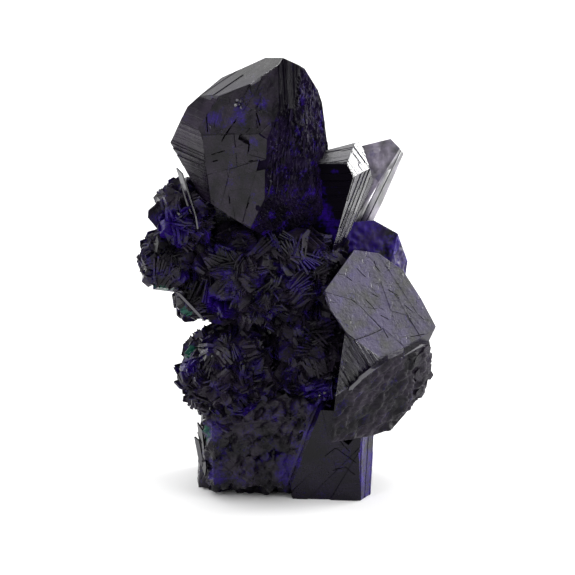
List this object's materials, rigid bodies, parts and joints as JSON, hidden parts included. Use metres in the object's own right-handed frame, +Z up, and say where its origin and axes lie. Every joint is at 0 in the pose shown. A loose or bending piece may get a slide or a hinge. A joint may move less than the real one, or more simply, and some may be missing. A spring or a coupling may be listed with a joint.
{
  "type": "azurite crystal specimen",
  "caption": "Upright cluster of intergrown near-black blue crystals with flat striated faces and crumbly rosettes, broken off flat at its foot to stand on a shelf.",
  "frame": {"origin": "on the floor, under the middle of the cluster's box", "axes": "+Z up along the cluster, -Y towards the front with the large crown crystal's faces, +X to the right of that front"},
  "size_m": [0.0272, 0.0213, 0.0407],
  "materials": {
    "azurite": "vitreous, near-black indigo, with violet-blue glints and a few patches of malachite green"
  },
  "bodies": {
    "root": {"azurite_cluster": "azurite"}
  },
  "joints": []
}
